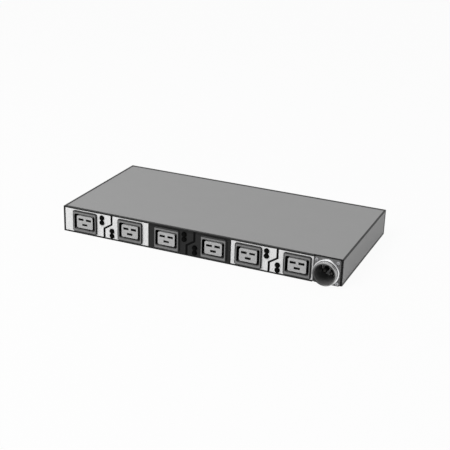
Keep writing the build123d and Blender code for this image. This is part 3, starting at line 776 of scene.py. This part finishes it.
class PDU_OT_labels(Operator):
    """Finish the printed films and the stepped lines"""

    bl_idname = "pdu.labels"
    bl_label = "Labels"

    def execute(self, context):
        settings = context.scene.pdu_label
        # A negative border lies outside the film, so nothing is printed along that end
        films = {
            "left": (settings.white, settings.end_border, -MM, settings.top_border),
            "middle": (settings.black, settings.border, settings.border, 1.5 * settings.border),
            "right": (settings.white, -MM, -MM, settings.top_border),
        }
        for side, (colour, *borders) in films.items():
            node = f"label_{side}"
            paint(NODES[node], label_film(f"printed_film_{side}", colour, node, settings, *borders))
        lines = self.stepped_lines(settings.stroke_spread)
        paint(lines, printing_ink(settings), "print_black")
        finish_piece(lines, "chassis", ["divider_print"])
        return {"FINISHED"}

    def stepped_lines(self, spread):
        """The three stepped lines, each a little wider than its solid, as ink spreads on film."""
        lines = merged_copy("divider_print", "stepped_line_print")
        corners = sorted(lines.data.vertices, key=lambda corner: corner.co.x)
        groups = [[corners[0]]]
        for corner in corners[1:]:
            if corner.co.x - groups[-1][-1].co.x > STROKE_GAP:
                groups.append([])
            groups[-1].append(corner)
        for group in groups:
            lowest = [corner.co.x for corner in group if corner.co.z < STROKE_LOWER_TURN - STROKE_STRAIGHT]
            highest = [corner.co.x for corner in group if corner.co.z > STROKE_UPPER_TURN + STROKE_STRAIGHT]
            start = sum(lowest) / len(lowest)
            end = sum(highest) / len(highest)
            for corner in group:
                rise = (corner.co.z - STROKE_LOWER_TURN) / (STROKE_UPPER_TURN - STROKE_LOWER_TURN)
                centre = start + (end - start) * min(max(rise, 0), 1)
                corner.co.x += math.copysign(spread, corner.co.x - centre)
        return lines


class PDU_OT_outlets(Operator):
    """Finish the six socket outlets"""

    bl_idname = "pdu.outlets"
    bl_label = "Outlets"

    def execute(self, context):
        settings = context.scene.pdu_outlet
        core_plastic = moulded_plastic("pale_moulded_core", settings.core_colour, settings.grain, 0.45)
        # Painted shade for the walls of the plug channel and the slots
        shade_plastics = [
            moulded_plastic(name, colour, settings.grain, 0.6, specular=0.1)
            for name, colour in (
                ("painted_shade_throat", settings.throat_shade),
                ("painted_shade_above_core", settings.shelf_shade),
                ("painted_shade_below_core", settings.ledge_shade),
            )
        ]
        for number in OUTLETS:
            for kind, plastic in (("frame", self.frame_plastic(number, settings)), ("core", core_plastic)):
                node = f"outlet_{kind}_{number}"
                low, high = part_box(node)
                moulding = with_soft_edges(node, f"{node}_moulding", settings.edge)
                paint(moulding, plastic, f"{kind}_grey")
                for shade_plastic in shade_plastics:
                    moulding.data.materials.append(shade_plastic)
                self.paint_throat_shade(moulding, low, high, kind == "frame")
                finish_piece(moulding, "chassis", [node])
        dress([f"outlet_contacts_{number}" for number in OUTLETS], plain_metal("tinned_contact", linear(TIN), 0.4))
        return {"FINISHED"}

    def frame_plastic(self, number, settings):
        """Grey moulding with a darker rim, and painted shade on the slanted edge and the sides."""
        name = f"grey_moulded_frame_{number}"
        material = moulded_plastic(name, settings.frame_colour, settings.grain, 0.48, specular=0.2)
        # Painted shade on the slanted edge and the sides
        shaded_sides(material, settings.side_shade)
        low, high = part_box(f"outlet_frame_{number}")
        widths = (settings.outline, 2 * settings.outline, settings.outline)
        outline_box(material, low, high, widths, settings.outline_colour)
        return material

    def paint_throat_shade(self, moulding, low, high, is_frame):
        """Gives the walls that the plug and its pins slide along their painted shade: dark deep in the channel and in
        the slots, with tones of their own above and below the core.
        """
        middle = (low + high) / 2
        for face in moulding.data.polygons:
            offset = face.center - middle
            inward = abs(offset.x) < THROAT_HALF_WIDTH and abs(offset.z) < THROAT_HALF_HEIGHT
            deep = face.center.y > low.y + THROAT_DEPTH
            in_slots = abs(offset.x) < SLOTS_HALF_WIDTH and abs(offset.z) < SLOTS_HALF_HEIGHT
            level = abs(face.normal.z) > FACES_UP_OR_DOWN and not in_slots
            if deep and (inward or not is_frame):
                face.material_index = THROAT_SHADE_SLOT
                if level:
                    face.material_index = LEDGE_SHADE_SLOT if offset.z < 0 else SHELF_SHADE_SLOT
            elif in_slots and not is_frame and face.normal.y > FLAT_TO_FRONT:
                face.material_index = THROAT_SHADE_SLOT


class PDU_OT_breakers(Operator):
    """Finish the breaker cases and make the domed reset buttons"""

    bl_idname = "pdu.breakers"
    bl_label = "Breakers"

    def execute(self, context):
        settings = context.scene.pdu_breaker
        phenolic = moulded_plastic("black_phenolic", settings.case_colour, 0.9 * MM, 0.55, specular=0.03)
        button_plastic = moulded_plastic("black_nylon_button", settings.button_colour, 1.1 * MM, 0.4, specular=0.05)
        for number in OUTLETS:
            node = f"breaker_case_{number}"
            case = with_soft_edges(node, f"{node}_moulding", settings.edge)
            paint(case, phenolic, "breaker_black")
            finish_piece(case, "chassis", [node])
        # Every cap is a copy of the first, taken before the first is finished
        tags = [f"{number}{pole}" for number in OUTLETS for pole in POLES]
        low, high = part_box(f"reset_button_{tags[0]}")
        first_middle = (low + high) / 2
        caps = [self.button(f"reset_button_{tags[0]}_cap", first_middle, low.y, high.y, settings)]
        for tag in tags[1:]:
            low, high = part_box(f"reset_button_{tag}")
            caps.append(copy_of(caps[0], f"reset_button_{tag}_cap", (low + high) / 2 - first_middle))
        for cap, tag in zip(caps, tags):
            paint(cap, button_plastic, "button_black")
            finish_piece(cap, f"button_{tag}", [f"reset_button_{tag}"])
        return {"FINISHED"}

    def button(self, name, middle, front, back, settings):
        """One button: dome, stem and the collar that keeps it in its case."""
        collar = back - COLLAR_LENGTH + STOP_GAP
        profile = [(share * BUTTON_RADIUS, front + settings.dome * depth) for share, depth in DOME_PROFILE]
        profile += [(BUTTON_RADIUS, collar), (COLLAR_RADIUS, collar), (COLLAR_RADIUS, back)]
        return turned(name, middle, profile, BUTTON_SIDES, closed=True)


class PDU_OT_inlet(Operator):
    """Make the turned supply coupling and finish its lining, pins and gasket"""

    bl_idname = "pdu.inlet"
    bl_label = "Inlet"

    def execute(self, context):
        settings = context.scene.pdu_inlet
        low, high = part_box("inlet_shell")
        centre = (low + high) / 2
        front = low.y + BARREL_FRONT
        barrel = self.barrel(centre, front, high.y, settings)
        nickel = turned_metal(settings, centre, front - GROOVE_END, front - BASE_RING_FRONT - 0.1 * MM)
        paint(barrel, nickel, "shell_metal")
        finish_piece(barrel, "chassis", [])
        flange = self.flange(centre, front, high, settings)
        casting = moulded_plastic("coated_casting", settings.flange_colour, 1.2 * MM, 0.45)
        # Painted shadow of the barrel on the flange's lower left corner
        painted_shadow_corner(casting, centre, settings.groove_and_lower_left_shade)
        paint(flange, casting, "shell_metal")
        finish_piece(flange, "chassis", ["inlet_shell"])
        lining = with_soft_edges("inlet_insert", "inlet_lining", LINING_EDGE)
        paint(lining, insert_plastic(settings, centre, front + INSERT_FLOOR), "insert_black")
        finish_piece(lining, "chassis", ["inlet_insert"])
        dress(["inlet_pins"], plain_metal("silvered_pin", linear(PIN_SILVER), 0.34))
        # Black rubber gasket; the dark band it shows round the flange also stands in for the shade in the bay
        rubber = moulded_plastic("black_gasket_rubber", linear(GASKET_BLACK), 0.6 * MM, 0.8, specular=0.3)
        dress(["inlet_gasket"], rubber)
        return {"FINISHED"}

    def barrel(self, centre, front, back, settings):
        """Rim, groove and base ring of the coupling, turned in one."""
        rim_front = front - BARREL_FRONT
        groove_front = front - GROOVE_END
        ring_front = front - BASE_RING_FRONT
        profile = [
            (BARREL_BORE, back),
            (BARREL_BORE, rim_front + BORE_EDGE),
            (BARREL_BORE + BORE_EDGE, rim_front),
            *rounded_rim(RIM_RADIUS, rim_front),
            (RIM_RADIUS, groove_front - BORE_EDGE),
            (RIM_RADIUS - BORE_EDGE, groove_front),
            (GROOVE_RADIUS, groove_front),
            (GROOVE_RADIUS, ring_front),
            *rounded_rim(BASE_RING_RADIUS, ring_front),
            (BASE_RING_RADIUS, front + FLANGE_FRONT),
            (BARREL_RADIUS, front + FLANGE_FRONT),
            (BARREL_RADIUS, back),
            (BARREL_BORE, back),
        ]
        return turned("inlet_barrel", centre, profile, settings.sides)

    def flange(self, centre, front, high, settings):
        """Square flange with rounded corners, a hole for every screw and the barrel's hole."""
        side = 2 * (high.x - centre.x)
        middle = Vector((centre.x, front + FLANGE_FRONT + FLANGE_THICKNESS / 2, centre.z))
        bpy.ops.object.select_all(action="DESELECT")
        bpy.ops.mesh.primitive_cube_add(size=1, location=middle, scale=(side, FLANGE_THICKNESS, side))
        plate = bpy.context.object
        plate.name = "inlet_flange"
        bpy.ops.object.transform_apply(location=True, rotation=True, scale=True)
        self.bevel_corners(plate, FLANGE_CORNER)
        self.drill(plate, middle, BARREL_RADIUS, settings.sides)
        for x in (-FLANGE_SCREW_PITCH / 2, FLANGE_SCREW_PITCH / 2):
            for z in (-FLANGE_SCREW_PITCH / 2, FLANGE_SCREW_PITCH / 2):
                self.drill(plate, middle + Vector((x, 0, z)), SCREW_SHANK_RADIUS + HOLE_PLAY, HOLE_SIDES)
        soften(plate, FLANGE_EDGE, FLANGE_SHARP_ANGLE)
        return plate

    def bevel_corners(self, plate, radius):
        """Rounds the four edges of a plate that run along Y."""
        select_only(plate)
        bpy.ops.object.mode_set(mode="EDIT")
        bpy.ops.mesh.select_mode(type="EDGE")
        bpy.ops.mesh.select_all(action="DESELECT")
        bpy.ops.object.mode_set(mode="OBJECT")
        points = plate.data.vertices
        for edge in plate.data.edges:
            a, b = (points[i].co for i in edge.vertices)
            edge.select = abs(a.x - b.x) < SAME_PLACE and abs(a.z - b.z) < SAME_PLACE
        bpy.ops.object.mode_set(mode="EDIT")
        bpy.ops.mesh.bevel(offset=radius, segments=8, affect="EDGES")
        bpy.ops.object.mode_set(mode="OBJECT")

    def drill(self, plate, place, radius, sides):
        """Cuts a round hole along Y."""
        bpy.ops.object.select_all(action="DESELECT")
        bpy.ops.mesh.primitive_cylinder_add(
            vertices=sides, radius=radius, depth=4 * FLANGE_THICKNESS, location=place,
            rotation=(math.radians(90), 0, 0),
        )
        cut_away(plate, bpy.context.object)


class PDU_OT_fasteners(Operator):
    """Make the screws of the inlet flange and of the cover, and finish nuts and stud"""

    bl_idname = "pdu.fasteners"
    bl_label = "Fasteners"

    def execute(self, context):
        zinc = plain_metal("zinc_plated_steel", linear(ZINC), 0.36)
        # The inlet screws get the same painted shadow at the lower left as the flange
        shaded_zinc = plain_metal("zinc_plated_steel_at_inlet", linear(ZINC), 0.36)
        low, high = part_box("inlet_screws")
        painted_shadow_corner(shaded_zinc, (low + high) / 2, context.scene.pdu_inlet.groove_and_lower_left_shade)
        replace_screws("inlet_screws", "inlet_screw_set", 2, 2, 1, shaded_zinc)
        replace_screws("cover_screws", "cover_screw_set", 4, 1, -1, zinc)
        dress(["inlet_nuts", "cover_nuts", "earth_stud", "earth_nut"], zinc)
        return {"FINISHED"}


class PDU_OT_inside(Operator):
    """Finish what the closed case hides"""

    bl_idname = "pdu.inside"
    bl_label = "Inside"

    def execute(self, context):
        copper = plain_metal("rolled_copper", linear(COPPER), 0.32, stretch=(0.05, 1, 1))
        dress(["line_busbar_1", "line_busbar_2", "earth_busbar"], copper)
        dress(["breaker_tabs"], plain_metal("tinned_brass", linear(TAB_TIN), 0.35))
        sleeve = moulded_plastic("soft_lead_sleeve", linear(SLEEVE_BLACK), 1.5 * MM, 0.5)
        dress(["input_leads", "load_leads"], sleeve)
        dress(["insulating_sheet"], moulded_plastic("pressed_insulating_sheet", linear(BOARD), 1.0 * MM, 0.6))
        return {"FINISHED"}


class PDU_OT_stage(Operator):
    """Set camera, lamps, sky and floor"""

    bl_idname = "pdu.stage"
    bl_label = "Stage"

    def execute(self, context):
        settings = context.scene.pdu_stage
        self.camera(context, settings)
        self.floor(settings)
        self.lamp(context, "key_lamp", settings.key_power, KEY_PLACE)
        self.lamp(context, "fill_lamp", settings.fill_power, FILL_PLACE)
        self.sky(context, settings)
        context.scene.view_settings.view_transform = "Standard"
        return {"FINISHED"}

    def camera(self, context, settings):
        """The camera at the photograph's angle."""
        data = bpy.data.cameras.new("camera")
        data.lens = settings.lens
        data.sensor_width = 36.0
        camera = bpy.data.objects.new("camera", data)
        turn = (
            Matrix.Rotation(settings.azimuth, 4, "Z")
            @ Matrix.Rotation(math.radians(90) - settings.elevation, 4, "X")
            @ Matrix.Rotation(settings.roll, 4, "Z")
        )
        camera.matrix_world = Matrix.Translation(settings.place) @ turn
        context.scene.collection.objects.link(camera)
        context.scene.camera = camera

    def floor(self, settings):
        """A wide floor with a soft rise at its edge."""
        bpy.ops.object.select_all(action="DESELECT")
        bpy.ops.mesh.primitive_circle_add(vertices=96, radius=FLOOR_RADIUS, fill_type="NGON")
        floor = bpy.context.object
        floor.name = "floor"
        bpy.ops.object.mode_set(mode="EDIT")
        bpy.ops.mesh.select_mode(type="EDGE")
        bpy.ops.mesh.select_all(action="SELECT")
        bpy.ops.mesh.extrude_edges_move(TRANSFORM_OT_translate={"value": (0, 0, FLOOR_RISE)})
        bpy.ops.transform.resize(value=(FLOOR_SPREAD, FLOOR_SPREAD, 1), center_override=(0, 0, FLOOR_RISE))
        bpy.ops.object.mode_set(mode="OBJECT")
        floor.data.materials.append(floor_material(settings))

    def lamp(self, context, name, power, place):
        """A large soft lamp that points at the part."""
        data = bpy.data.lights.new(name, "AREA")
        data.energy = power
        data.size = LAMP_SIZE
        lamp = bpy.data.objects.new(name, data)
        lamp.location = place
        lamp.rotation_euler = (-Vector(place)).to_track_quat("-Z", "Y").to_euler()
        context.scene.collection.objects.link(lamp)

    def sky(self, context, settings):
        """An even pale sky that the camera and reflections see as white."""
        world = bpy.data.worlds.new("studio")
        context.scene.world = world
        world.use_nodes = True
        tree = world.node_tree
        tree.nodes.clear()
        strength = add_node(
            tree, "ShaderNodeMapRange", {"Value": seen_directly(tree), "To Min": settings.sky, "To Max": 1.0}
        ).outputs["Result"]
        background = add_node(tree, "ShaderNodeBackground", {"Color": (1, 1, 1, 1), "Strength": strength})
        add_node(tree, "ShaderNodeOutputWorld", {"Surface": background.outputs["Background"]})


class PDU_PT_panel(Panel):
    """Lists the pieces and the stage"""

    bl_idname = "PDU_PT_panel"
    bl_label = "Rack power unit"
    bl_space_type = "VIEW_3D"
    bl_region_type = "UI"
    bl_category = "Rack power"

    def draw(self, context):
        for operator in OPERATORS:
            self.layout.operator(operator.bl_idname)


SETTINGS = {
    "pdu_chassis": ChassisSettings,
    "pdu_label": LabelSettings,
    "pdu_outlet": OutletSettings,
    "pdu_breaker": BreakerSettings,
    "pdu_inlet": InletSettings,
    "pdu_stage": StageSettings,
}
OPERATORS = (
    PDU_OT_stage,
    PDU_OT_chassis,
    PDU_OT_labels,
    PDU_OT_outlets,
    PDU_OT_breakers,
    PDU_OT_inlet,
    PDU_OT_fasteners,
    PDU_OT_inside,
)


def register():
    """Registers settings, operators and panel."""
    for name, settings in SETTINGS.items():
        bpy.utils.register_class(settings)
        setattr(bpy.types.Scene, name, PointerProperty(type=settings))
    for operator in OPERATORS:
        bpy.utils.register_class(operator)
    bpy.utils.register_class(PDU_PT_panel)


def unregister():
    """Takes everything back that register made."""
    bpy.utils.unregister_class(PDU_PT_panel)
    for operator in reversed(OPERATORS):
        bpy.utils.unregister_class(operator)
    for name, settings in SETTINGS.items():
        delattr(bpy.types.Scene, name)
        bpy.utils.unregister_class(settings)


def main():
    """Builds the whole scene."""
    register()
    bpy.ops.pdu.stage()
    bpy.ops.pdu.chassis()
    bpy.ops.pdu.labels()
    bpy.ops.pdu.outlets()
    bpy.ops.pdu.breakers()
    bpy.ops.pdu.inlet()
    bpy.ops.pdu.fasteners()
    bpy.ops.pdu.inside()


if __name__ == "__main__":
    main()
